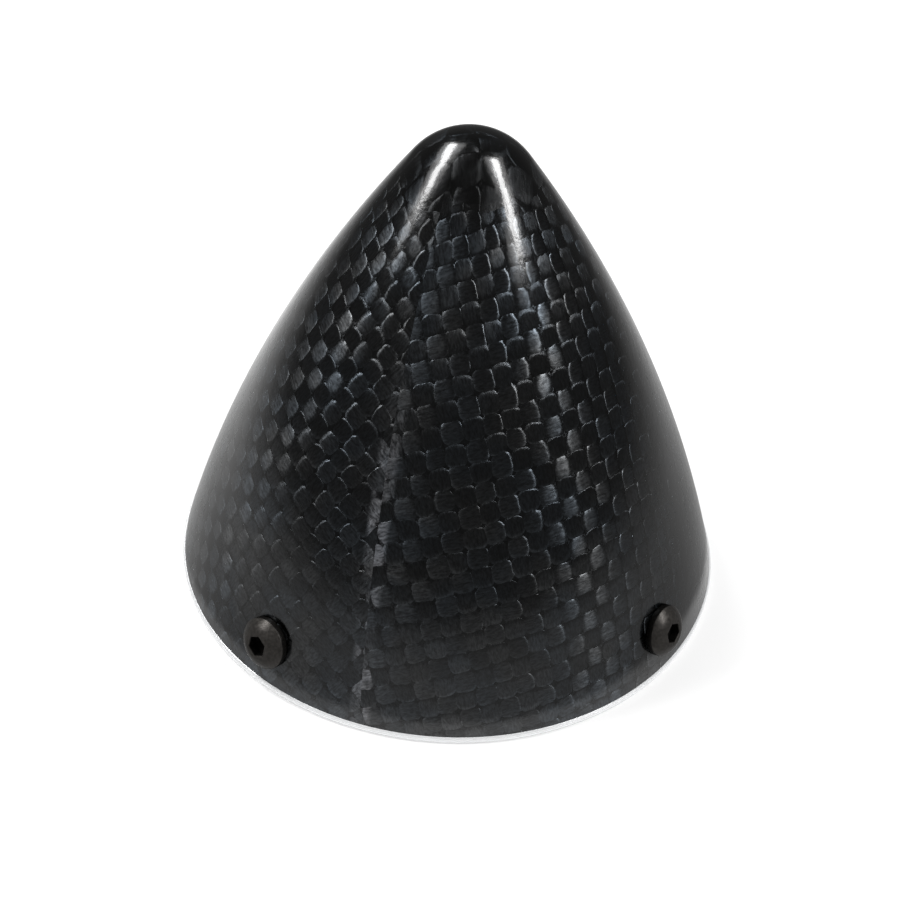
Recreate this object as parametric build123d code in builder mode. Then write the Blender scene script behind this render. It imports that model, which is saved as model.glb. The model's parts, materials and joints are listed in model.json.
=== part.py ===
import os
from math import atan2, cos, hypot, isclose, radians, sin, sqrt, tan

from build123d import *

os.makedirs("parts", exist_ok=True)

# Propeller spinner in millimetres. The origin is the centre of the backplate's rear
# face, and +Z runs along the shaft to the nose.

# Cone
spinner_diameter = 63.5  # over the backplate's rim, a 2.5 inch spinner
rim_ledge = 0.2  # the rim stands this far outside the cone's edge
cone_height = 52.8  # from the cone's edge to its tip
side_radius = 158.0  # bulge of the side, seen in section
nose_radius = 7.8
wall = 1.0

# Backplate
rim_thickness = 0.8  # the part of the plate that shows under the cone
rim_chamfer = 0.15
plate_thickness = 3.4
seat_gap = 0.1  # between the cone's inside and what locates it
shaft_diameter = 8.0
shaft_clearance = 0.05  # on the radius
bore_chamfer = 0.4
prop_seat_diameter = 26.0
pocket_floor = 1.6
lightening_hole_diameter = 5.5
lightening_hole_count = 8
lug_width = 9.5
lug_land = 2.6  # metal above the tapped hole at the lug's outer face
lug_back_wall = 1.2  # metal behind the blind end of the tapped hole
lug_corner = 1.5

# Cone screws, M3 x 6 button head with a hexagon socket
screw_count = 4
screw_height = 4.4  # of the hole's centre, above the cone's edge
thread_diameter = 3.0
screw_length = 6.0
thread_clearance = 0.03  # on the radius, in the tapped hole
cone_hole_clearance = 0.15  # on the radius, in the cone's wall
tap_runout = 0.6
thread_tip_chamfer = 0.35
head_diameter = 5.7
head_height = 1.65
head_edge = 0.7  # height of the straight edge below the dome
head_top_diameter = 2.9
head_dome_bulge = 0.15  # the dome's arc over its chord, seen in section
head_seat_gap = 0.01  # keeps the flat underside off the curved wall
socket_width = 2.0  # across flats
socket_depth = 1.04
drill_point_angle = 120.0  # of the cone left under the socket

rim_radius = spinner_diameter / 2
cone_radius = rim_radius - rim_ledge
bore_radius = shaft_diameter / 2 + shaft_clearance
cone_seat_z = rim_thickness
tip_z = cone_seat_z + cone_height
nose_centre_z = tip_z - nose_radius

# The side arc starts at the cone's edge and ends tangent to the nose sphere, so its
# centre is side_radius from the edge and side_radius - nose_radius from the nose's.
chord = hypot(cone_radius, cone_height - nose_radius)
blend_radius = side_radius - nose_radius
along = (side_radius**2 - blend_radius**2 + chord**2) / (2 * chord)
across = sqrt(side_radius**2 - along**2)
chord_x = -cone_radius / chord
chord_z = (cone_height - nose_radius) / chord
side_centre_x = cone_radius + along * chord_x - across * chord_z
side_centre_z = cone_seat_z + along * chord_z + across * chord_x
blend_angle = atan2(nose_centre_z - side_centre_z, -side_centre_x)


# Radius of the cone's surface at height z, inset by a wall or a gap.
def cone_radius_at(z, inset=0.0):
    return side_centre_x + sqrt((side_radius - inset) ** 2 - (z - side_centre_z) ** 2)


# Half section of the cone's shape, inset by a wall or a gap and cut off flat at base_z.
def nose_section(inset, base_z):
    radius = side_radius - inset
    edge = (cone_radius_at(base_z, inset), base_z)
    blend = (
        side_centre_x + radius * cos(blend_angle),
        side_centre_z + radius * sin(blend_angle),
    )
    middle_angle = (atan2(base_z - side_centre_z, edge[0] - side_centre_x) + blend_angle) / 2
    middle = (
        side_centre_x + radius * cos(middle_angle),
        side_centre_z + radius * sin(middle_angle),
    )
    tip = (0, tip_z - inset)
    with BuildSketch(Plane.XZ) as section:
        with BuildLine():
            side = ThreePointArc(edge, middle, blend)
            TangentArc(side @ 1, tip, tangent=side % 1)
            Polyline(tip, (0, base_z), edge)
        make_face()
    return section.sketch


# Each screw stands square to the cone's wall: its plane touches the wall at the hole's
# centre and faces out along the screw.
screw_z = cone_seat_z + screw_height
screw_lean = atan2(screw_z - side_centre_z, cone_radius_at(screw_z) - side_centre_x)
screw_planes = []
for index in range(screw_count):
    turn = radians((index + 0.5) * 360 / screw_count)
    screw_planes.append(
        Plane(
            origin=(cone_radius_at(screw_z) * cos(turn), cone_radius_at(screw_z) * sin(turn), screw_z),
            x_dir=(-sin(turn), cos(turn), 0),
            z_dir=(cos(screw_lean) * cos(turn), cos(screw_lean) * sin(turn), sin(screw_lean)),
        )
    )
screw_seats = [plane.location for plane in screw_planes]

# The blind tapped hole ends past the screw's tip, and the lug has metal behind that.
tapped_depth = screw_length + head_seat_gap + tap_runout
tapped_end_radius = cone_radius_at(screw_z) - tapped_depth * cos(screw_lean)
lug_inner_radius = tapped_end_radius - lug_back_wall
lug_top_z = screw_z + thread_diameter / 2 + lug_land
lug_length = rim_radius - lug_inner_radius
lug_centre_radius = (rim_radius + lug_inner_radius) / 2

outer_section = nose_section(0, cone_seat_z)
inner_section = nose_section(wall, cone_seat_z)
locating_section = nose_section(wall + seat_gap, 0)

# Cone: a carbon fibre shell with four holes square to its wall
with BuildPart() as spinner_cone:
    revolve(outer_section, axis=Axis.Z)
    revolve(inner_section, axis=Axis.Z, mode=Mode.SUBTRACT)
    with Locations(*screw_seats):
        Hole(thread_diameter / 2 + cone_hole_clearance, depth=tapped_depth)
spinner_cone.part.label = "spinner_cone"

# Backplate: a turned and milled aluminium plate. Four lugs stand up inside the cone,
# and the plate's shoulder and the lugs locate it.
with BuildPart() as backplate:
    with BuildSketch(Plane.XY):
        with PolarLocations(lug_centre_radius, screw_count, start_angle=180 / screw_count):
            Rectangle(lug_length, lug_width)
    extrude(amount=lug_top_z)
    inner_corners = backplate.edges().filter_by(Axis.Z).group_by(
        lambda edge: round(hypot(edge.center().X, edge.center().Y), 3)
    )[0]
    fillet(inner_corners, radius=lug_corner)
    revolve(locating_section, axis=Axis.Z, mode=Mode.INTERSECT)
    with BuildSketch(Plane.XZ):
        add(locating_section)
        with Locations((0, plate_thickness)):
            Rectangle(spinner_diameter, tip_z, align=(Align.CENTER, Align.MIN), mode=Mode.SUBTRACT)
    revolve(axis=Axis.Z)
    with BuildSketch(Plane.XY.offset(plate_thickness)):
        Circle(lug_inner_radius)
        Circle(prop_seat_diameter / 2, mode=Mode.SUBTRACT)
    extrude(amount=pocket_floor - plate_thickness, mode=Mode.SUBTRACT)
    with BuildSketch(Plane.XY):
        Circle(rim_radius)
    extrude(amount=rim_thickness)
    rim_edges = backplate.edges().filter_by(GeomType.CIRCLE).filter_by(
        lambda edge: isclose(edge.radius, rim_radius, abs_tol=0.001)
    )
    chamfer(rim_edges, length=rim_chamfer)
    with Locations((0, 0, plate_thickness)):
        Hole(bore_radius, depth=plate_thickness)
    bore_edges = backplate.edges().filter_by(GeomType.CIRCLE).filter_by(
        lambda edge: isclose(edge.radius, bore_radius, abs_tol=0.001)
    )
    chamfer(bore_edges, length=bore_chamfer)
    with Locations((0, 0, pocket_floor)):
        with PolarLocations((prop_seat_diameter / 2 + lug_inner_radius) / 2, lightening_hole_count):
            Hole(lightening_hole_diameter / 2, depth=pocket_floor)
    with Locations(*screw_seats):
        Hole(thread_diameter / 2 + thread_clearance, depth=tapped_depth)
backplate.part.label = "backplate"

# One cone screw in its own frame, with its underside at z = 0 and its head above
drill_point_z = head_height - socket_depth
drill_point_depth = socket_width / 2 / tan(radians(drill_point_angle / 2))
with BuildPart() as button_screw:
    with BuildSketch(Plane.XZ):
        with BuildLine():
            Polyline(
                (0, head_height),
                (0, -screw_length),
                (thread_diameter / 2 - thread_tip_chamfer, -screw_length),
                (thread_diameter / 2, thread_tip_chamfer - screw_length),
                (thread_diameter / 2, 0),
                (head_diameter / 2, 0),
                (head_diameter / 2, head_edge),
            )
            SagittaArc(
                (head_diameter / 2, head_edge),
                (head_top_diameter / 2, head_height),
                -head_dome_bulge,
            )
            Line((head_top_diameter / 2, head_height), (0, head_height))
        make_face()
    revolve(axis=Axis.Z)
    with BuildSketch(Plane.XY.offset(head_height)):
        RegularPolygon(socket_width / 2, 6, major_radius=False)
    extrude(amount=-socket_depth, mode=Mode.SUBTRACT)
    with BuildSketch(Plane.XZ):
        Polygon(
            (0, drill_point_z),
            (0, drill_point_z - drill_point_depth),
            (socket_width / 2, drill_point_z),
            align=None,
        )
    revolve(axis=Axis.Z, mode=Mode.SUBTRACT)

for index, plane in enumerate(screw_planes, start=1):
    cone_screw = plane.offset(head_seat_gap).location * button_screw.part
    cone_screw.label = f"cone_screw_{index}"
    export_step(cone_screw, f"parts/cone_screw_{index}.step")

export_step(spinner_cone.part, "parts/spinner_cone.step")
export_step(backplate.part, "parts/backplate.step")
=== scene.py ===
import json
import math
from functools import partial

import bpy
from mathutils import Matrix, Vector

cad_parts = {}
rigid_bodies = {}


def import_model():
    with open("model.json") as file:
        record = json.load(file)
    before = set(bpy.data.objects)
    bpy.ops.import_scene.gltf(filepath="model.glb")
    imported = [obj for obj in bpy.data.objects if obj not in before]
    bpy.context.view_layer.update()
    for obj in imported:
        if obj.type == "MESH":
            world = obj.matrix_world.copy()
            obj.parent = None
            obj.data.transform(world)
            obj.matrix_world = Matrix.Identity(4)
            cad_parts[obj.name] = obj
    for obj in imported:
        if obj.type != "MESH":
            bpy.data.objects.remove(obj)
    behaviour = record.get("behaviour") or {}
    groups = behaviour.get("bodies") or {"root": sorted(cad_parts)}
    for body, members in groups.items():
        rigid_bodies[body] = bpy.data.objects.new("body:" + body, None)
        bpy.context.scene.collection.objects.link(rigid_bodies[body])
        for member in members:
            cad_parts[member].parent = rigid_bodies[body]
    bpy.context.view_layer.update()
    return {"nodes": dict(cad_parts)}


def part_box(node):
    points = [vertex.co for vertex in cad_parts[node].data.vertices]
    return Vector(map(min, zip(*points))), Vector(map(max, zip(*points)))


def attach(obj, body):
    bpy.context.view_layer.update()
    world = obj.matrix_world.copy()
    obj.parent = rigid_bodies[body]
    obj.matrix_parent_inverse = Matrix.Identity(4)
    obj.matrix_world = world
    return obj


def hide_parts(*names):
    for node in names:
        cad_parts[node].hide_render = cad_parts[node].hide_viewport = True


mm = 0.001
joinWithin = 0.001 * mm  # points this close become one
sharpFrom = 0.6  # radians between two faces, from which their edge stays sharp
noiseSpan = (0.3, 0.7)  # most of a noise texture's values lie between these

for leftover in list(bpy.data.objects):
    bpy.data.objects.remove(leftover)
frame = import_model()
print("frame loaded:", ", ".join(sorted(frame["nodes"])))


def linear(hexColour):
    channels = [int(hexColour[i:i + 2], 16) / 255 for i in (1, 3, 5)]
    return [c / 12.92 if c <= 0.04045 else ((c + 0.055) / 1.055) ** 2.4 for c in channels] + [1.0]


# A direction from the object, in degrees round from its front (-Y) towards +X, and up.
def direction(azimuth, elevation):
    a, e = math.radians(azimuth), math.radians(elevation)
    return Vector((math.cos(e) * math.sin(a), -math.cos(e) * math.cos(a), math.sin(e)))


# Adds a node. A word after the dot in kind is its operation, values go to its live inputs in
# order, and named holds inputs by name. A node as a value stands for its first live output.
def addNode(tree, kind, *values, named=None, **settings):
    kind, _, operation = kind.partition(".")
    node = tree.nodes.new(kind)
    if operation:
        node.operation = operation
    for name, value in settings.items():
        setattr(node, name, value)
    live = [socket for socket in node.inputs if socket.enabled]
    pairs = list(zip(live, values))
    for name, value in (named or {}).items():
        pairs.append((next(socket for socket in live if socket.name == name), value))
    for socket, value in pairs:
        if isinstance(value, bpy.types.Node):
            value = next(output for output in value.outputs if output.enabled)
        if isinstance(value, bpy.types.NodeSocket):
            tree.links.new(value, socket)
        elif value is not None:
            socket.default_value = value
    return node


def newTree(name, sizes):
    tree = bpy.data.node_groups.new(name, "GeometryNodeTree")
    tree.interface.new_socket("Geometry", in_out="OUTPUT", socket_type="NodeSocketGeometry")
    for label, kind in sizes.items():
        tree.interface.new_socket(label, in_out="INPUT", socket_type="NodeSocket" + kind)
    return tree, tree.nodes.new("NodeGroupInput").outputs


# Runs a tree with its input values and returns the result as an object with a plain mesh. A
# tree that takes geometry gets it as the holder's own mesh.
def bakeTree(name, tree, values, start=None):
    holder = bpy.data.objects.new(name + "_holder", start or bpy.data.meshes.new(name + "_holder"))
    bpy.context.scene.collection.objects.link(holder)
    modifier = holder.modifiers.new("Build", "NODES")
    modifier.node_group = tree
    for item in tree.interface.items_tree:
        if item.in_out == "INPUT" and item.socket_type != "NodeSocketGeometry":
            modifier[item.identifier] = values[item.name]
    depsgraph = bpy.context.evaluated_depsgraph_get()
    mesh = bpy.data.meshes.new_from_object(
        holder.evaluated_get(depsgraph), preserve_all_data_layers=True, depsgraph=depsgraph)
    bpy.data.objects.remove(holder)
    mesh.name = name
    mesh.materials.clear()  # the boolean leaves an empty slot before the tree's material
    mesh.materials.append(values["Material"])
    mesh.polygons.foreach_set("material_index", [0] * len(mesh.polygons))
    piece = bpy.data.objects.new(name, mesh)
    bpy.context.scene.collection.objects.link(piece)
    return piece


def newMaterial(name):
    material = bpy.data.materials.new(name)
    material.use_nodes = True
    material.node_tree.nodes.clear()
    return material, partial(addNode, material.node_tree)


# Sizes of the cone and of the cloth on it
cone = {
    "sideRadius": 158.0,  # mm, bulge of the side in section
    "noseRadius": 7.8,
    "wall": 1.0,
    "segments": 256,  # columns of faces round the cone
    "stations": 150,  # rows of faces up each wall
    "holeCount": 4,
    "holeRadius": 1.65,
    "holeSides": 64,
    "holeHeight": 4.4,  # above the cone's edge
    "seamTop": -29.0,  # degrees round from the front, where the cloth's two ends meet
    "seamBottom": -22.0,
    "clothReach": 18.519,  # mm of cloth from the point that it turns about to the tip
    "clothTurn": 0.412,  # how far the cloth turns for each turn round the cone
    "clothStart": 30.88,  # degrees, where the warp runs straight up the cone
}

# Materials

# Carbon fibre, plain woven from flat tows and cured in epoxy under a glossy clear coat: near
# black, with a grey glint on each tow where it lies square to a lamp and along its dipping rim.
carbon = {
    "towPitch": 2.168,  # mm between tows
    "phase": (1.196, 1.343),  # tows, where the pattern starts
    "towReach": 0.55,  # tows, from the middle of a crossing to the outline of the tow on top
    "towSpread": 0.05,  # share by which that differs from crossing to crossing
    "outlinePower": 2.7,  # 2 for an oval outline, more for a squarer one
    "crimp": 0.1,  # mm, rise of a crossing's middle over its outline
    "crimpPower": 6.0,  # how flat the top lies before its rim dips
    "towBlend": 0.01,  # mm, how soft the line is where one tow dives under another
    "tilt": 0.08,  # mm in a tow's width, how far a crossing may lean
    "wander": (0.45, 0.2),  # waves to a tow, and the tows by which a tow strays from its line
    "ruffle": (3.0, 0.07),  # the same for the unevenness of a tow's outline
    "fibreCool": "#32363a",
    "fibreWarm": "#363738",
    "toneScale": 0.3,  # patches of a cooler or warmer black to a tow
    "toneSpan": (0.4, 0.6),  # the part of their noise over which one black turns into the other
    "resinLevel": (-0.1, 0.3),  # shares of the crimp, the pits' resin and where fibres lie bare
    "resinShade": 0.35,  # share of the fibres' light that comes up through the resin in a pit
    "filament": 0.2,  # mm between the streaks of filaments, drawn coarser than the real 0.007
    "streakStretch": 0.08,  # across over along
    "streak": (0.12, 0.0025),  # unevenness of the streaks in shade, and in mm of height
    "blotchScale": 9.0,  # blotches to a tow
    "blotchStretch": 0.4,
    "blotchSpan": (0.35, 0.65),  # the part of their noise that runs from darkest to lightest
    "blotch": (0.5, 0.004),  # as for the streaks
    "patch": 0.3,  # unevenness in shade from crossing to crossing
    "edgeTint": 0.1,  # share of the light that the fibres send back at a glancing angle
    "roughness": 0.31,
    "roughnessSpread": 0.05,
    "stretch": 0.95,  # of a glint, across the filaments
    "capReach": 9.0,  # mm of arc from the tip, where the cloth bunches up over the nose
    "capFade": (-2.5, 4.0),  # mm of arc from there, over which the darker colour fades out and the relief sinks
    "capRagged": (10 / 3, 4.0),  # mm, length and depth of the lobes of that border
    "capHeight": 1.6,  # how much higher the gathers stand than the crossings do
    "capPitch": 2.7,  # mm between the gathers
    "capShift": (0.37, 0.61, 0.0),  # tows, keeps a gather off the very tip
    "capShade": 0.18,  # share of the fibres' colour kept there, which draws the nose darker
    "seamReach": (0.78, 1.3),  # mm to each side of the seam, where the lighter grey thins out and stops
    "seamTop": (24.0, 36.0),  # mm of height over which the lighter grey gives out
    "seamGrey": "#343335",
    "seamMatt": 0.8,  # share of the metal's sheen that the lighter cells lack
    "seamChance": (0.2, 0.8),  # a crossing's luck, from none of the lighter grey on it to all of it
    "seamMottle": 0.5,  # unevenness in shade along the seam
    "peel": (5 / 3, 0.02),  # mm, width and height of the waves in the clear coat
    "print": 0.015,  # mm, how far the weave shows as waves in the coat
    "coatRoughness": 0.12,
}
carbonMaterial, add = newMaterial("CarbonFibrePlainWeaveClearCoated")
pitch = carbon["towPitch"]
place = add("ShaderNodeTexCoord").outputs["Object"]
cloth = add("ShaderNodeUVMap", uv_map="cloth")
tows = add("ShaderNodeMapping", cloth, (*carbon["phase"], 0), (0, 0, 0), (1000 / pitch, 1000 / pitch, 1))
capTows = add("ShaderNodeVectorMath.MULTIPLY_ADD", place,
              (1000 / carbon["capPitch"], 1000 / carbon["capPitch"], 0), carbon["capShift"])
# The cloth gives way to the gathers along a ragged border
lobe, ragged = carbon["capRagged"]
border = cone["clothReach"] + carbon["capReach"]
lobes = add("ShaderNodeTexNoise", place, named={"Scale": 1000 / lobe, "Detail": 1.0})
lobes = add("ShaderNodeMath.SUBTRACT", lobes, 0.5)
fromTip = add("ShaderNodeVectorMath.LENGTH", cloth)
fromTip = add("ShaderNodeMath.MULTIPLY_ADD", lobes, ragged * mm, fromTip)
onCap = add("ShaderNodeMath.LESS_THAN", fromTip, border * mm)
gathered = add("ShaderNodeMapRange", fromTip, *((border + fade) * mm for fade in carbon["capFade"]),
               1.0, 0.0, interpolation_type="SMOOTHSTEP")
tows = add("ShaderNodeMix", onCap, tows, capTows, data_type="VECTOR")
for scale, reach in (carbon["wander"], carbon["ruffle"]):
    stray = add("ShaderNodeTexNoise", tows, named={"Scale": scale, "Detail": 1.0}, noise_dimensions="2D")
    stray = add("ShaderNodeVectorMath.SUBTRACT", stray.outputs["Color"], (0.5, 0.5, 0.5))
    tows = add("ShaderNodeVectorMath.MULTIPLY_ADD", stray, (reach,) * 3, tows)


# The nearest crossing of one kind, warp over weft or weft over warp. The crossings of a kind
# stand like the squares of one colour on a chessboard, one step apart along each diagonal.
# Returns the height of the tow on top there, in mm, and three random numbers of the crossing.
def nearestCrossing(shift):
    dot, scaled = "ShaderNodeVectorMath.DOT_PRODUCT", "ShaderNodeVectorMath.SCALE"
    spot = add("ShaderNodeVectorMath.ADD", tows, (shift, 0, 0))
    diagonals = add("ShaderNodeCombineXYZ", add(dot, spot, (0.5, 0.5, 0)), add(dot, spot, (0.5, -0.5, 0)))
    nearest = add("ShaderNodeVectorMath.FLOOR", add("ShaderNodeVectorMath.ADD", diagonals, (0.5, 0.5, 0)))
    # The seventh storey up gives the other kind random numbers of its own
    middle = add("ShaderNodeCombineXYZ", add(dot, nearest, (1, 1, 0)), add(dot, nearest, (1, -1, 0)),
                 7 * shift)
    fromMiddle = add("ShaderNodeVectorMath.SUBTRACT", spot, middle)
    fromMiddle = add("ShaderNodeVectorMath.MULTIPLY", fromMiddle, (1, 1, 0))
    chance = add("ShaderNodeTexWhiteNoise", middle, noise_dimensions="3D")
    reach = add("ShaderNodeMapRange", chance, 0.0, 1.0,
                *(carbon["towReach"] * (1 + sign * carbon["towSpread"]) for sign in (-1, 1)))
    sides = add("ShaderNodeSeparateXYZ", add("ShaderNodeVectorMath.ABSOLUTE", fromMiddle))
    sides = [add("ShaderNodeMath.DIVIDE", sides.outputs[axis], reach) for axis in "XY"]
    sides = [add("ShaderNodeMath.POWER", side, carbon["outlinePower"]) for side in sides]
    fall = add("ShaderNodeMath.POWER", add("ShaderNodeMath.ADD", *sides),
               carbon["crimpPower"] / carbon["outlinePower"])
    dome = add("ShaderNodeMath.MULTIPLY_ADD", fall, -carbon["crimp"], carbon["crimp"])
    lean = add("ShaderNodeVectorMath.SUBTRACT", chance.outputs["Color"], (0.5, 0.5, 0.5))
    lean = add(dot, add(scaled, lean, 2 * carbon["tilt"]), fromMiddle)
    return add("ShaderNodeMath.ADD", dome, lean), chance


weft, weftChance = nearestCrossing(0)
warp, warpChance = nearestCrossing(1)
weftShows = add("ShaderNodeMath.GREATER_THAN", weft, warp)
height = add("ShaderNodeMath.SMOOTH_MAX", weft, warp, carbon["towBlend"])
chance = add("ShaderNodeMix", weftShows, warpChance.outputs["Color"], weftChance.outputs["Color"],
             data_type="VECTOR")
chance = add("ShaderNodeSeparateXYZ", chance)
# Resin fills the pits between four tows and hides the fibres there
resin, bare = (level * carbon["crimp"] for level in carbon["resinLevel"])
sunk = add("ShaderNodeMapRange", height, resin, bare, carbon["resinShade"], 1.0,
           interpolation_type="SMOOTHSTEP")
height = add("ShaderNodeMath.MAXIMUM", height, resin)
# Filament streaks and blotches run along the tow that shows
grains = []
for scale, stretch, detail, roughness in (
        (pitch / carbon["filament"], carbon["streakStretch"], 2.0, 0.5),
        (carbon["blotchScale"], carbon["blotchStretch"], 3.0, 0.65)):
    alongWarp = add("ShaderNodeVectorMath.MULTIPLY", tows, (1, stretch, 1))
    alongWeft = add("ShaderNodeVectorMath.MULTIPLY", tows, (stretch, 1, 1))
    alongTow = add("ShaderNodeMix", weftShows, alongWarp, alongWeft, data_type="VECTOR")
    grains.append(add("ShaderNodeTexNoise", alongTow,
                      named={"Scale": scale, "Detail": detail, "Roughness": roughness}))
streaks, blotches = grains
shade = sunk
for pattern, low, high, share in (
        (chance.outputs["Z"], 0.0, 1.0, carbon["patch"]),
        (streaks, *noiseSpan, carbon["streak"][0]),
        (blotches, *carbon["blotchSpan"], carbon["blotch"][0])):
    uneven = add("ShaderNodeMapRange", pattern, low, high, 1 - share, 1 + share)
    shade = add("ShaderNodeMath.MULTIPLY", shade, uneven)
overCap = add("ShaderNodeMath.MULTIPLY_ADD", gathered, carbon["capShade"] - 1, 1)
shade = add("ShaderNodeMath.MULTIPLY", shade, overCap)
tone = add("ShaderNodeTexNoise", tows, named={"Scale": carbon["toneScale"], "Detail": 2.0})
tone = add("ShaderNodeMapRange", tone, *carbon["toneSpan"], 0.0, 1.0)
fibre = add("ShaderNodeMix", tone, linear(carbon["fibreCool"])[:3], linear(carbon["fibreWarm"])[:3],
            data_type="VECTOR")
fibre = add("ShaderNodeVectorMath.SCALE", fibre, shade)
# Cells along the seam are drawn a matt lighter grey, fading out higher up the cone
fromSeam = add("ShaderNodeAttribute", attribute_name="fromSeam").outputs["Fac"]
aboveBase = add("ShaderNodeSeparateXYZ", place).outputs["Z"]
thin, stop = (reach * mm for reach in carbon["seamReach"])
lower, upper = (top * mm for top in carbon["seamTop"])
mottle = carbon["seamMottle"]
seamLighter = sunk
for pattern, *span in (
        (fromSeam, thin, stop, 1.0, 0.0),
        (chance.outputs["X"], *carbon["seamChance"], 0.0, 1.0),
        (blotches, *carbon["blotchSpan"], 1 - mottle, 1 + mottle),
        (aboveBase, lower, upper, 1.0, 0.0)):
    seamLighter = add("ShaderNodeMath.MULTIPLY", seamLighter, add("ShaderNodeMapRange", pattern, *span))
relief = add("ShaderNodeMath.MULTIPLY_ADD", gathered, carbon["capHeight"] - 1, 1)
relief = add("ShaderNodeMath.MULTIPLY", height, relief)
fibreBump = None
for pattern, depth in ((relief, 1.0), (blotches, carbon["blotch"][1]), (streaks, carbon["streak"][1])):
    fibreBump = add("ShaderNodeBump", named={
        "Strength": 1.0, "Distance": depth * mm, "Height": pattern, "Normal": fibreBump})
peelWidth, peelDepth = carbon["peel"]
peel = add("ShaderNodeTexNoise", place,
           named={"Scale": 1000 / peelWidth, "Detail": 4.0, "Roughness": 0.75})
coatBump = None
for pattern, depth in ((peel, peelDepth), (height, carbon["print"])):
    coatBump = add("ShaderNodeBump", named={
        "Strength": 1.0, "Distance": depth * mm, "Height": pattern, "Normal": coatBump})
roughness = add("ShaderNodeMapRange", streaks, *noiseSpan,
                *(carbon["roughness"] + sign * carbon["roughnessSpread"] for sign in (-1, 1)))
shader = add("ShaderNodeBsdfPrincipled", named={
    "Base Color": add("ShaderNodeVectorMath.MULTIPLY_ADD", linear(carbon["seamGrey"])[:3], seamLighter, fibre),
    "Metallic": add("ShaderNodeMath.MULTIPLY_ADD", seamLighter, -carbon["seamMatt"], 1.0),
    "Roughness": roughness,
    "Normal": fibreBump,
    "Specular Tint": (carbon["edgeTint"],) * 3 + (1,),
    "Anisotropic": carbon["stretch"],
    "Anisotropic Rotation": add("ShaderNodeMath.MULTIPLY", weftShows, 0.25),  # a quarter turn
    "Tangent": add("ShaderNodeTangent", direction_type="UV_MAP", uv_map="cloth"),
    "Coat Weight": 1.0,
    "Coat Roughness": carbon["coatRoughness"],
    "Coat IOR": 1.5,
    "Coat Normal": coatBump})
add("ShaderNodeOutputMaterial", shader)

# Aluminium plate, turned on a lathe: bright, with fine rings that stretch its glints sideways.
aluminium = {
    "metal": "#e3e4e5",
    "sheen": 0.45,  # share of the surface that shines as metal; the feed lines scatter the rest
    "roughness": 0.26,
    "roughnessSpread": 0.06,
    "stretch": 0.5,  # of a glint, across the rings
    "ringPitch": 0.2,  # mm
    "ringDepth": 0.008,  # mm
}
aluminiumMaterial, add = newMaterial("AluminiumTurned")
place = add("ShaderNodeTexCoord").outputs["Object"]
fromAxis = add("ShaderNodeVectorMath.LENGTH", add("ShaderNodeVectorMath.MULTIPLY", place, (1, 1, 0)))
# The tool's feed leaves rings over the faces and lines round the edge
feed = add("ShaderNodeMath.ADD", fromAxis, add("ShaderNodeSeparateXYZ", place).outputs["Z"])
feed = add("ShaderNodeMath.MULTIPLY", feed, 1000 / aluminium["ringPitch"])
rings = add("ShaderNodeTexNoise", named={"W": feed, "Scale": 1.0, "Detail": 1.0}, noise_dimensions="1D")
roughness = add("ShaderNodeMapRange", rings, *noiseSpan,
                *(aluminium["roughness"] + sign * aluminium["roughnessSpread"] for sign in (-1, 1)))
shader = add("ShaderNodeBsdfPrincipled", named={
    "Base Color": linear(aluminium["metal"]),
    "Metallic": aluminium["sheen"],
    "Roughness": roughness,
    "Anisotropic": aluminium["stretch"],
    "Tangent": add("ShaderNodeTangent", direction_type="RADIAL", axis="Z"),
    "Normal": add("ShaderNodeBump", named={
        "Strength": 1.0, "Distance": aluminium["ringDepth"] * mm, "Height": rings})})
add("ShaderNodeOutputMaterial", shader)

# Alloy steel screw, cold headed and blackened: a dull black with a soft oily glint. Painted shade draws
# its edge and its socket darker than the dome.
steel = {
    "metal": "#343230",
    "sheen": 0.55,  # share of the surface that shines as metal; the oxide dulls the rest
    "roughness": (0.28, 0.42),
    "edgeTint": 0.15,
    "grain": 0.3,  # mm
    "grainDepth": 0.004,  # mm
    "grainShade": (0.7, 1.2),
    "paintedShadeLevel": 0.2,  # how light the black stays under the painted shade on the edge and in the socket
}
steelMaterial, add = newMaterial("SteelBlackOxide")
place = add("ShaderNodeTexCoord").outputs["Object"]
grain = add("ShaderNodeTexNoise", place, named={"Scale": 1000 / steel["grain"], "Detail": 3.0})
# Painted shade: the head's edge and its socket are drawn darker than the dome
rubbed = add("ShaderNodeAttribute", attribute_name="rubbed").outputs["Fac"]
rubbed = add("ShaderNodeMapRange", rubbed, 0.0, 1.0, steel["paintedShadeLevel"], 1.0)
shade = add("ShaderNodeMapRange", grain, *noiseSpan, *steel["grainShade"])
shade = add("ShaderNodeMath.MULTIPLY", shade, rubbed)
shader = add("ShaderNodeBsdfPrincipled", named={
    "Base Color": add("ShaderNodeVectorMath.SCALE", linear(steel["metal"])[:3], shade),
    "Metallic": steel["sheen"],
    "Specular Tint": (steel["edgeTint"],) * 3 + (1,),
    "Roughness": add("ShaderNodeMapRange", grain, *noiseSpan, *steel["roughness"]),
    "Normal": add("ShaderNodeBump", named={
        "Strength": 1.0, "Distance": steel["grainDepth"] * mm, "Height": grain})})
add("ShaderNodeOutputMaterial", shader)
print("materials made")

# Cone
coneLow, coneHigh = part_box("spinner_cone")
edgeRadius, edgeZ, tipZ = (coneHigh.x - coneLow.x) / 2, coneLow.z, coneHigh.z
sideRadius, noseRadius, wall = (cone[key] * mm for key in ("sideRadius", "noseRadius", "wall"))
noseZ = tipZ - noseRadius
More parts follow.
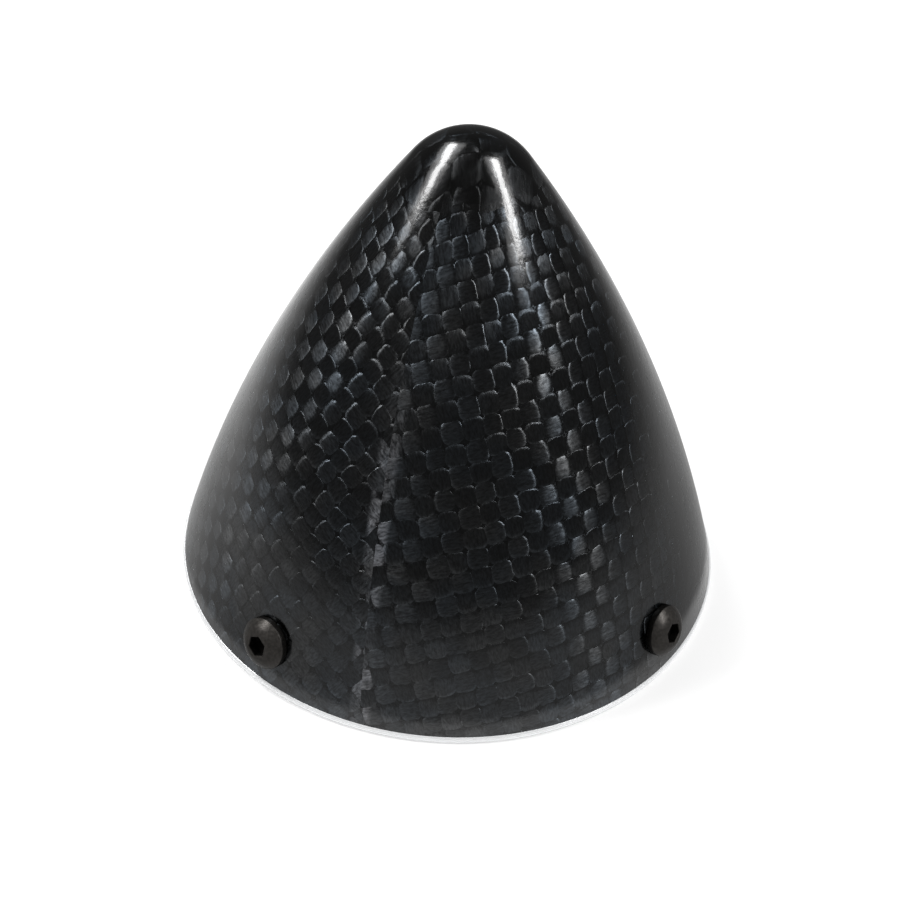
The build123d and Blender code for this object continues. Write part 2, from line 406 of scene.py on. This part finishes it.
# The side's arc leaves the edge and meets the nose's arc without a kink
chord = math.hypot(edgeRadius, noseZ - edgeZ)
blendRadius = sideRadius - noseRadius
along = (sideRadius ** 2 - blendRadius ** 2 + chord ** 2) / (2 * chord)
away = math.sqrt(sideRadius ** 2 - along ** 2)
rise, run = (noseZ - edgeZ) / chord, edgeRadius / chord
sideX = edgeRadius - along * run - away * rise
sideZ = edgeZ + along * rise - away * run
blendAngle = math.atan2(noseZ - sideZ, -sideX)
holeZ = edgeZ + cone["holeHeight"] * mm
holeLean = math.asin((holeZ - sideZ) / sideRadius)
holeX = sideX + sideRadius * math.cos(holeLean)
holeLength = 6 * wall  # the drill reaches well past the wall on both sides


# One grid of rows by columns: its rows run down the outer wall and up the inner one, and its
# two side edges meet at the seam.
def buildConeTree():
    tree, size = newTree("coneShell", {
        "Edge Height": "Float", "Side Centre X": "Float", "Side Centre Z": "Float",
        "Side Radius": "Float", "Nose Centre Z": "Float", "Nose Radius": "Float",
        "Blend Angle": "Float", "Wall": "Float", "Segments": "Int", "Stations": "Int",
        "Hole Count": "Int", "Hole Seat": "Vector", "Hole Lean": "Float", "Hole Radius": "Float",
        "Hole Length": "Float", "Hole Sides": "Int", "Seam Top": "Float", "Seam Bottom": "Float",
        "Cloth Reach": "Float", "Cloth Turn": "Float", "Cloth Start": "Float", "Material": "Material"})
    add = partial(addNode, tree)
    plus, minus, times, over, timesPlus, above, least, sine, cosine, arcsine = (
        "ShaderNodeMath." + word for word in (
            "ADD", "SUBTRACT", "MULTIPLY", "DIVIDE", "MULTIPLY_ADD", "GREATER_THAN", "MINIMUM",
            "SINE", "COSINE", "ARCSINE"))
    vector = "ShaderNodeCombineXYZ"
    store = "GeometryNodeStoreNamedAttribute"
    grid = add("GeometryNodeMeshGrid", 1.0, 1.0, add(plus, size["Segments"], 1),
               add(timesPlus, size["Stations"], 2, 2))
    spot = add("ShaderNodeSeparateXYZ", add("GeometryNodeInputPosition"))
    share = add(plus, spot.outputs["X"], 0.5)
    row = add(times, add(plus, spot.outputs["Y"], 0.5), add(timesPlus, size["Stations"], 2, 1))
    inner = add(above, row, add(plus, size["Stations"], 0.5))
    outer = add(minus, 1, inner)
    # Height up the wall, 0 at the edge and 1 at the tip
    down = add(minus, 1, add(over, row, size["Stations"]))
    up = add(over, add(minus, add(minus, row, size["Stations"]), 1), size["Stations"])
    height = add(plus, add(times, outer, down), add(times, inner, up))
    # Both walls turn about the same centres, the inner one with shorter radii
    inset = add(times, inner, size["Wall"])
    side = add(minus, size["Side Radius"], inset)
    nose = add(minus, size["Nose Radius"], inset)
    edgeAngle = add(arcsine, add(over, add(minus, size["Edge Height"], size["Side Centre Z"]), side))
    sideLength = add(times, size["Side Radius"], add(minus, size["Blend Angle"], edgeAngle))
    noseLength = add(times, size["Nose Radius"], add(minus, math.pi / 2, size["Blend Angle"]))
    whole = add(plus, sideLength, noseLength)
    length = add(times, height, whole)
    onNose = add(above, length, sideLength)
    onSide = add(minus, 1, onNose)
    sideAngle = add(plus, edgeAngle, add(over, length, size["Side Radius"]))
    noseAngle = add(over, add(minus, length, sideLength), size["Nose Radius"])
    noseAngle = add(plus, size["Blend Angle"], noseAngle)
    sideOut = add(timesPlus, side, add(cosine, sideAngle), size["Side Centre X"])
    sideUp = add(timesPlus, side, add(sine, sideAngle), size["Side Centre Z"])
    noseOut = add(times, nose, add(cosine, noseAngle))
    noseUp = add(timesPlus, nose, add(sine, noseAngle), size["Nose Centre Z"])
    radius = add(plus, add(times, onSide, sideOut), add(times, onNose, noseOut))
    radius = add("ShaderNodeMath.MAXIMUM", radius, 0)
    z = add(plus, add(times, onSide, sideUp), add(times, onNose, noseUp))
    # The seam leans, and every row starts and ends on it
    seam = add(timesPlus, height, add(minus, size["Seam Top"], size["Seam Bottom"]), size["Seam Bottom"])
    fromSeam = add(times, share, math.tau)
    turn = add(plus, seam, fromSeam)
    nearSeam = add(times, add(least, fromSeam, add(minus, math.tau, fromSeam)), radius)
    # The cloth lies as on a developed cone, flat round the point that it turns about
    reach = add(plus, size["Cloth Reach"], add(minus, whole, length))
    swing = add(times, add(minus, turn, size["Cloth Start"]), size["Cloth Turn"])
    cloth = add(vector, add(times, reach, add(sine, swing)), add(times, reach, add(cosine, swing)))
    stored = add(store, data_type="FLOAT2", domain="CORNER", named={
        "Geometry": grid.outputs["Mesh"], "Name": "cloth", "Value": cloth})
    stored = add(store, data_type="FLOAT", domain="POINT", named={
        "Geometry": stored, "Name": "fromSeam", "Value": nearSeam})
    x = add(times, radius, add(sine, turn))
    y = add(times, radius, add(times, add(cosine, turn), -1))
    shaped = add("GeometryNodeSetPosition", named={"Geometry": stored, "Position": add(vector, x, y, z)})
    merged = add("GeometryNodeMergeByDistance", named={"Geometry": shaped, "Distance": joinWithin})
    outward = add("GeometryNodeFlipFaces", merged)
    # The screw holes, square to the wall
    drill = add("GeometryNodeMeshCylinder", named={
        "Vertices": size["Hole Sides"], "Radius": size["Hole Radius"], "Depth": size["Hole Length"]})
    leaned = add("GeometryNodeTransform", named={
        "Geometry": drill.outputs["Mesh"], "Translation": size["Hole Seat"],
        "Rotation": add(vector, 0, add(minus, math.pi / 2, size["Hole Lean"]))})
    centres = add("GeometryNodeMeshToPoints", add("GeometryNodeMeshCircle", size["Hole Count"], 1.0),
                  named={"Position": (0, 0, 0)})
    holeTurn = add(times, add(plus, add("GeometryNodeInputIndex"), 0.5),
                   add(over, math.tau, size["Hole Count"]))
    drills = add("GeometryNodeInstanceOnPoints", named={
        "Points": centres, "Instance": leaned, "Rotation": add(vector, 0, 0, holeTurn)})
    drilled = add("GeometryNodeMeshBoolean.DIFFERENCE", solver="EXACT", named={
        "Mesh 1": outward, "Mesh 2": add("GeometryNodeRealizeInstances", drills)})
    edged = add(store, data_type="BOOLEAN", domain="EDGE", named={
        "Geometry": drilled, "Name": "sharp_edge",
        "Value": add(above, add("GeometryNodeInputMeshEdgeAngle"), sharpFrom)})
    real = add("GeometryNodeRealizeInstances", add("GeometryNodeSetShadeSmooth", edged))
    coated = add("GeometryNodeSetMaterial", named={"Geometry": real, "Material": size["Material"]})
    add("NodeGroupOutput", coated)
    return tree


conePiece = bakeTree("spinner_cone_shell", buildConeTree(), {
    "Edge Height": edgeZ, "Side Centre X": sideX, "Side Centre Z": sideZ,
    "Side Radius": sideRadius, "Nose Centre Z": noseZ, "Nose Radius": noseRadius,
    "Blend Angle": blendAngle, "Wall": wall, "Segments": cone["segments"], "Stations": cone["stations"],
    "Hole Count": cone["holeCount"], "Hole Seat": (holeX, 0.0, holeZ), "Hole Lean": holeLean,
    "Hole Radius": cone["holeRadius"] * mm, "Hole Length": holeLength, "Hole Sides": cone["holeSides"],
    "Seam Top": math.radians(cone["seamTop"]), "Seam Bottom": math.radians(cone["seamBottom"]),
    "Cloth Reach": cone["clothReach"] * mm, "Cloth Turn": cone["clothTurn"],
    "Cloth Start": math.radians(cone["clothStart"]), "Material": carbonMaterial})
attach(conePiece, "spinner")
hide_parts("spinner_cone")
print("cone made:", len(conePiece.data.polygons), "faces")

# Screws, M3 button heads with a hexagon socket and a real thread
screw = {
    "headRadius": 2.85,  # mm
    "headHeight": 1.65,
    "headEdge": 0.7,
    "edgeRound": 0.08,
    "topRadius": 1.45,
    "domeBulge": 0.15,
    "domeSteps": 10,
    "socketWidth": 2.0,
    "socketDepth": 1.04,
    "socketChamfer": 0.07,
    "drillAngle": 120.0,  # degrees, of the cone that the drill leaves under the socket
    "threadRadius": 1.49,
    "threadPitch": 0.5,
    "threadDepth": 0.27,
    "threadSteps": 8,  # rows to each turn of the thread
    "length": 6.0,
    "tipChamfer": 0.35,
    "seatGap": 0.01,
    "segments": 72,
}


# Half section of a screw from its tip to the bottom of its socket, as (radius, height, share
# of hexagon, share of thread, share of the black left out of the painted shade), in mm.
def screwSection():
    tip, thread = -screw["length"], screw["threadRadius"]
    threadLow = tip + screw["tipChamfer"]
    points = [(0, tip, 0, 0, 0), (thread - screw["tipChamfer"], tip, 0, 0, 0)]
    rows = round(-threadLow / screw["threadPitch"] * screw["threadSteps"])
    for index in range(rows + 1):
        # The thread runs out over its last turn under the head
        deep = min(1, (rows - index) / screw["threadSteps"])
        points.append((thread, threadLow * (1 - index / rows), 0, deep, 0))
    edge, curl, upright = screw["headRadius"], screw["edgeRound"], screw["headEdge"]
    bend = 0.3 * curl  # from each straight side to the middle of the rounding
    for out, z in ((edge - curl, 0), (edge - bend, bend), (edge, curl), (edge, upright - curl / 2)):
        points.append((out, z, 0, 0, 0))
    start = Vector((edge - curl / 4, upright))
    end = Vector((screw["topRadius"], screw["headHeight"]))
    outward = Vector((end.y - start.y, start.x - end.x)).normalized()
    for index in range(screw["domeSteps"] + 1):
        share = index / screw["domeSteps"]
        spot = start.lerp(end, share) + outward * screw["domeBulge"] * 4 * share * (1 - share)
        points.append((spot.x, spot.y, 0, 0, 1))
    flat, top, chamfer = screw["socketWidth"] / 2, screw["headHeight"], screw["socketChamfer"]
    floorZ = top - screw["socketDepth"]
    drillPoint = flat / math.tan(math.radians(screw["drillAngle"] / 2))
    drillEdge = 0.97 * flat  # the drill's cone is round, just inside the hexagon
    points += [(flat + chamfer, top, 1, 0, 1), (flat, top - chamfer, 1, 0, 0), (flat, floorZ, 1, 0, 0),
               (drillEdge, floorZ, 0, 0, 0), (0, floorZ - drillPoint, 0, 0, 0)]
    return points


# The half section turned into a grid round the screw's axis, then seated in its hole
def buildScrewTree():
    tree, size = newTree("buttonScrew", {
        "Section": "Geometry", "Segments": "Int", "Thread Pitch": "Float", "Thread Depth": "Float",
        "Seat": "Vector", "Lean": "Float", "Turn": "Float", "Material": "Material"})
    add = partial(addNode, tree)
    plus, minus, times, over, timesPlus, sine, cosine = (
        "ShaderNodeMath." + word for word in (
            "ADD", "SUBTRACT", "MULTIPLY", "DIVIDE", "MULTIPLY_ADD", "SINE", "COSINE"))
    vector = "ShaderNodeCombineXYZ"
    store, sample = "GeometryNodeStoreNamedAttribute", "GeometryNodeSampleIndex"
    rows = add("GeometryNodeAttributeDomainSize", size["Section"]).outputs["Point Count"]
    grid = add("GeometryNodeMeshGrid", 1.0, 1.0, add(plus, size["Segments"], 1), rows)
    spot = add("ShaderNodeSeparateXYZ", add("GeometryNodeInputPosition"))
    row = add(times, add(plus, spot.outputs["Y"], 0.5), add(minus, rows, 1))
    row = add("ShaderNodeMath.ROUND", row)
    angle = add(times, add(plus, spot.outputs["X"], 0.5), math.tau)
    place = add(sample, size["Section"], add("GeometryNodeInputPosition"), row, data_type="FLOAT_VECTOR")
    place = add("ShaderNodeSeparateXYZ", place)
    shares = {}
    for name in ("hexagon", "thread", "rubbed"):
        stored = add("GeometryNodeInputNamedAttribute", name, data_type="FLOAT")
        shares[name] = add(sample, size["Section"], stored, row, data_type="FLOAT")
    z = place.outputs["Z"]
    # A hexagon reaches further than its flats by one over the cosine from the nearest flat
    fromFlat = add("ShaderNodeMath.FLOORED_MODULO", angle, math.pi / 3)
    fromFlat = add(minus, fromFlat, math.pi / 6)
    reach = add(minus, add(over, 1, add(cosine, fromFlat)), 1)
    radius = add(times, place.outputs["X"], add(timesPlus, reach, shares["hexagon"], 1))
    # A thread's valley climbs by its pitch in each turn
    climb = add(minus, add(over, z, size["Thread Pitch"]), add(over, angle, math.tau))
    valley = add("ShaderNodeMath.PINGPONG", add(times, add("ShaderNodeMath.FRACT", climb), 2), 1)
    depth = add(times, add(times, valley, size["Thread Depth"]), shares["thread"])
    radius = add(minus, radius, depth)
    # Marks the dome as clear of the painted shade on the edge and in the socket
    stored = add(store, data_type="FLOAT", domain="POINT", named={
        "Geometry": grid, "Name": "rubbed", "Value": shares["rubbed"]})
    x, y = add(times, radius, add(cosine, angle)), add(times, radius, add(sine, angle))
    shaped = add("GeometryNodeSetPosition", named={"Geometry": stored, "Position": add(vector, x, y, z)})
    merged = add("GeometryNodeMergeByDistance", named={"Geometry": shaped, "Distance": joinWithin})
    edged = add(store, data_type="BOOLEAN", domain="EDGE", named={
        "Geometry": merged, "Name": "sharp_edge",
        "Value": add("ShaderNodeMath.GREATER_THAN", add("GeometryNodeInputMeshEdgeAngle"), sharpFrom)})
    seated = add("GeometryNodeTransform", named={
        "Geometry": add("GeometryNodeSetShadeSmooth", edged), "Translation": size["Seat"],
        "Rotation": add(vector, 0, add(minus, math.pi / 2, size["Lean"]), size["Turn"])})
    real = add("GeometryNodeRealizeInstances", seated)
    blackened = add("GeometryNodeSetMaterial", named={"Geometry": real, "Material": size["Material"]})
    add("NodeGroupOutput", blackened)
    return tree


section = bpy.data.meshes.new("screwSection")
points = screwSection()
section.from_pydata([(radius * mm, 0, z * mm) for radius, z, *_ in points],
                    [(index, index + 1) for index in range(len(points) - 1)], [])
for column, name in ((2, "hexagon"), (3, "thread"), (4, "rubbed")):
    share = section.attributes.new(name, "FLOAT", "POINT")
    share.data.foreach_set("value", [float(point[column]) for point in points])
screwTree = buildScrewTree()
for index in range(1, cone["holeCount"] + 1):
    node = "cone_screw_%d" % index
    low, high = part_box(node)
    turn = math.atan2(low.y + high.y, low.x + high.x)
    outwards = Vector((math.cos(turn), math.sin(turn), 0))
    axis = outwards * math.cos(holeLean) + Vector((0, 0, math.sin(holeLean)))
    seat = outwards * holeX + Vector((0, 0, holeZ)) + axis * screw["seatGap"] * mm
    screwPiece = bakeTree(node + "_button_head", screwTree, {
        "Segments": screw["segments"], "Thread Pitch": screw["threadPitch"] * mm,
        "Thread Depth": screw["threadDepth"] * mm, "Seat": seat, "Lean": holeLean, "Turn": turn,
        "Material": steelMaterial}, section)
    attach(screwPiece, "screw_%d" % index)
    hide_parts(node)
print("screws made:", len(screwPiece.data.polygons), "faces each")

# The backplate's shape is right as packed, so it only gets its metal
backplate = frame["nodes"]["backplate"]
backplate.data.materials.clear()
backplate.data.materials.append(aluminiumMaterial)

# Floor, backdrop and lamps
studio = {
    "floorSize": 8.0,  # m
    "floorDrop": 0.02,  # mm, keeps the floor clear of the backplate's rear face
    "floorGlow": 0.475,  # white that the camera sees on the floor whatever the lamps do
    "floorFar": (0.18, 0.5),  # m from the axis, over which that glow rises to full white
    "floorAlbedo": 0.35,  # what it adds under the lamps, so that the object's shadow shows
    "floorPaper": 0.85,  # share of the light that it sends back up to the object
    "fill": 0.42,  # light from the room on matt surfaces
    "room": 0.105,  # what gloss shows of the room above the floor
    "paper": 1.22,  # what gloss shows of the white floor at the middle of its bright part
    "paperMiddle": (-0.016, 0.05, 0.0),  # m
    "paperStretch": 0.82,  # its depth counts less than its width
    "paperHalf": 0.066,  # m from that middle to where the floor is half as bright
    "paperFade": 1.46,  # how fast it darkens past that
    "contactShade": 0.63,  # share of the floor's light left in gloss beside the object
    "contactReach": (0.033, 0.075),  # m from the axis
    "rimGlow": 0.9,  # what the rim shows of the floor right under its front
    "rimMiddle": (0.0, -0.007, 0.0),  # m
    "rimReach": (0.0315, 0.034),  # m from that middle
    "lampDistance": 0.6,
    "lamps": {  # the bends of each strip, degrees round from the front and up, width in m, radiance
        "LeftStrip": (((-160, 49), (-112, 56), (-83, 32)), 0.09, 22.0),
        "LeftHalo": (((-164, 49), (-112, 56), (-83, 32)), 0.24, 2.8),
        "LeftTail": (((-83, 32), (-90, 26)), 0.08, 3.5),
        "RightStrip": (((114, 61), (76, 55), (59, 37), (60, 30)), 0.09, 22.0),
        "RightHalo": (((120, 61), (76, 55), (59, 37), (60, 30)), 0.24, 2.5),
    },
}
floorMesh = bpy.data.meshes.new("floor")
half, floorZ = studio["floorSize"] / 2, -studio["floorDrop"] * mm
corners = [(x * half, y * half, floorZ) for x, y in ((-1, -1), (1, -1), (1, 1), (-1, 1))]
floorMesh.from_pydata(corners, [], [(0, 1, 2, 3)])
floor = bpy.data.objects.new("floor", floorMesh)
bpy.context.scene.collection.objects.link(floor)

# White paper: plain and bright to the camera, and to gloss a bright part that fades into the room
floorMaterial, add = newMaterial("PaperWhiteMatt")
floorMesh.materials.append(floorMaterial)
ray = add("ShaderNodeLightPath")
place = add("ShaderNodeTexCoord").outputs["Object"]
fromAxis = add("ShaderNodeVectorMath.LENGTH", place)
glow = add("ShaderNodeMapRange", fromAxis, *studio["floorFar"], studio["floorGlow"], 1.0,
           interpolation_type="SMOOTHSTEP")
glow = add("ShaderNodeEmission", (1, 1, 1, 1), glow)
lit = add("ShaderNodeBsdfDiffuse", (studio["floorAlbedo"],) * 3 + (1,))
paper = add("ShaderNodeAddShader", lit, glow)
across, deep = 1 / studio["paperHalf"], studio["paperStretch"] / studio["paperHalf"]
fromMiddle = add("ShaderNodeVectorMath.SUBTRACT", place, studio["paperMiddle"])
fromMiddle = add("ShaderNodeVectorMath.MULTIPLY", fromMiddle, (across, deep, 0))
fromMiddle = add("ShaderNodeVectorMath.LENGTH", fromMiddle)
fade = add("ShaderNodeMath.ADD", add("ShaderNodeMath.POWER", fromMiddle, studio["paperFade"]), 1)
shine = add("ShaderNodeMath.DIVIDE", studio["paper"], fade)
contact = add("ShaderNodeMapRange", fromAxis, *studio["contactReach"], studio["contactShade"], 1.0,
              interpolation_type="SMOOTHSTEP")
shine = add("ShaderNodeMath.MAXIMUM", add("ShaderNodeMath.MULTIPLY", shine, contact), studio["room"])
underRim = add("ShaderNodeVectorMath.DISTANCE", place, studio["rimMiddle"])
underRim = add("ShaderNodeMapRange", underRim, *studio["rimReach"], studio["rimGlow"], 0.0)
shine = add("ShaderNodeEmission", (1, 1, 1, 1), add("ShaderNodeMath.MAXIMUM", shine, underRim))
matt = add("ShaderNodeBsdfDiffuse", (studio["floorPaper"],) * 3 + (1,))
glossy = add("ShaderNodeMath.MAXIMUM", ray.outputs["Is Glossy Ray"], ray.outputs["Is Transmission Ray"])
unseen = add("ShaderNodeMixShader", glossy, matt, shine)
shown = add("ShaderNodeMixShader", ray.outputs["Is Camera Ray"], unseen, paper)
# The floor is seen through from below, so that the backplate's rear face can be looked at
below = add("ShaderNodeNewGeometry").outputs["Backfacing"]
seenThrough = add("ShaderNodeBsdfTransparent")
add("ShaderNodeOutputMaterial", add("ShaderNodeMixShader", below, shown, seenThrough))

world = bpy.data.worlds.new("studio")
bpy.context.scene.world = world
world.use_nodes = True
world.node_tree.nodes.clear()
add = partial(addNode, world.node_tree)
ray = add("ShaderNodeLightPath")
room, fill, white = (add("ShaderNodeBackground", (1, 1, 1, 1), strength)
                     for strength in (studio["room"], studio["fill"], 1.0))
glossy = add("ShaderNodeMath.MAXIMUM", ray.outputs["Is Glossy Ray"], ray.outputs["Is Transmission Ray"])
unseen = add("ShaderNodeMixShader", glossy, fill, room)
add("ShaderNodeOutputWorld", add("ShaderNodeMixShader", ray.outputs["Is Camera Ray"], unseen, white))

centre = Vector((0, 0, (edgeZ + tipZ) / 2))


# A straight strip lamp from one direction to another, facing the middle of the object
def hangStrip(name, ends, width, radiance):
    first, second = (centre + direction(*end) * studio["lampDistance"] for end in ends)
    lamp = bpy.data.lights.new(name, "AREA")
    lamp.shape = "RECTANGLE"
    lamp.size = (first - second).length
    lamp.size_y = width
    lamp.energy = radiance * math.pi * lamp.size * lamp.size_y
    lampObject = bpy.data.objects.new(name, lamp)
    bpy.context.scene.collection.objects.link(lampObject)
    middle = (first + second) / 2
    backAxis = (middle - centre).normalized()
    longAxis = (second - first).normalized()
    longAxis = (longAxis - backAxis * longAxis.dot(backAxis)).normalized()
    shortAxis = backAxis.cross(longAxis)
    turn = Matrix((longAxis, shortAxis, backAxis)).transposed().to_4x4()
    lampObject.matrix_world = Matrix.Translation(middle) @ turn


for name, (bends, width, radiance) in studio["lamps"].items():
    for ends in zip(bends, bends[1:]):
        hangStrip(name, ends, width, radiance)

# Camera, aimed from the middle of the cone's edge
camera = {
    "azimuth": -7.21,  # degrees round from the front
    "elevation": 43.183,
    "distance": 168.866,  # mm
    "aimAcross": -0.426,  # mm
    "aimUp": 9.644,
    "roll": 3.454,
    "lens": 55.529,
    "sensor": 36,
    "nearest": 0.01,  # m
}
edgeCentre = Vector((0, 0, edgeZ))
outwards = direction(camera["azimuth"], camera["elevation"])
rightward = Vector((0, 0, 1)).cross(outwards).normalized()
upward = outwards.cross(rightward)
place = edgeCentre + outwards * camera["distance"] * mm
aim = edgeCentre + (rightward * camera["aimAcross"] + upward * camera["aimUp"]) * mm
view = (place - aim).normalized()
across = Vector((0, 0, 1)).cross(view).normalized()
upright = view.cross(across)
roll = math.radians(camera["roll"])
right = across * math.cos(roll) + upright * math.sin(roll)
up = view.cross(right)
cameraData = bpy.data.cameras.new("Camera")
cameraData.lens = camera["lens"]
cameraData.sensor_width = camera["sensor"]
cameraData.clip_start = camera["nearest"]
cameraObject = bpy.data.objects.new("Camera", cameraData)
cameraObject.matrix_world = Matrix.Translation(place) @ Matrix((right, up, view)).transposed().to_4x4()
bpy.context.scene.collection.objects.link(cameraObject)
bpy.context.scene.camera = cameraObject
bpy.context.scene.view_settings.view_transform = "Standard"
print("studio made")
